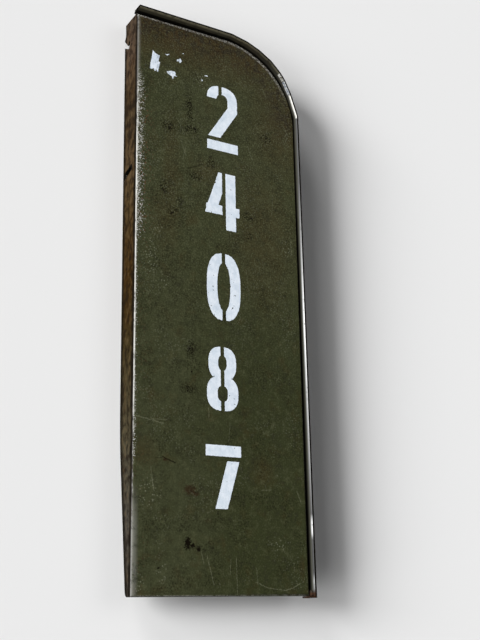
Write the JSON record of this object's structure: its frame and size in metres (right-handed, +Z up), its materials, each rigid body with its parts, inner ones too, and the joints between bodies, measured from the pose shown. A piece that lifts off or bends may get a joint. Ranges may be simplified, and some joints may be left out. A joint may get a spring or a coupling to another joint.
{
  "type": "blade sign",
  "caption": "Tall folded sheet-steel blade sign with a round upper corner, a hemmed rim and a slotted wall flange",
  "frame": {"origin": "middle of the lowest edge's bounding box: halfway across the width, halfway through the depth, at the underside of the rim strip's foot", "axes": "+X to the right as the face is read, away from the wall; -Y out of the painted face; +Z up the sign"},
  "size_m": [0.2, 0.0386, 0.6122],
  "materials": {
    "olive_paint": "worn olive drab enamel on folded steel sheet, bright metal along the folds",
    "rim_steel": "olive enamel worn through to grey steel on a hemmed strip",
    "rear_paint": "olive drab enamel on flat steel sheet",
    "primer": "brown primer on formed steel",
    "zinc_rivet": "dull aluminium blind rivet"
  },
  "bodies": {
    "root": {"front_panel": "olive_paint", "rim_strip": "rim_steel", "rear_panel": "rear_paint", "stiffener_low": "primer", "stiffener_mid": "primer", "stiffener_high": "primer", "rivet_low_1": "zinc_rivet", "rivet_low_2": "zinc_rivet", "rivet_low_3": "zinc_rivet", "rivet_mid_1": "zinc_rivet", "rivet_mid_2": "zinc_rivet", "rivet_mid_3": "zinc_rivet", "rivet_high_1": "zinc_rivet", "rivet_high_2": "zinc_rivet", "rivet_high_3": "zinc_rivet"}
  },
  "joints": []
}
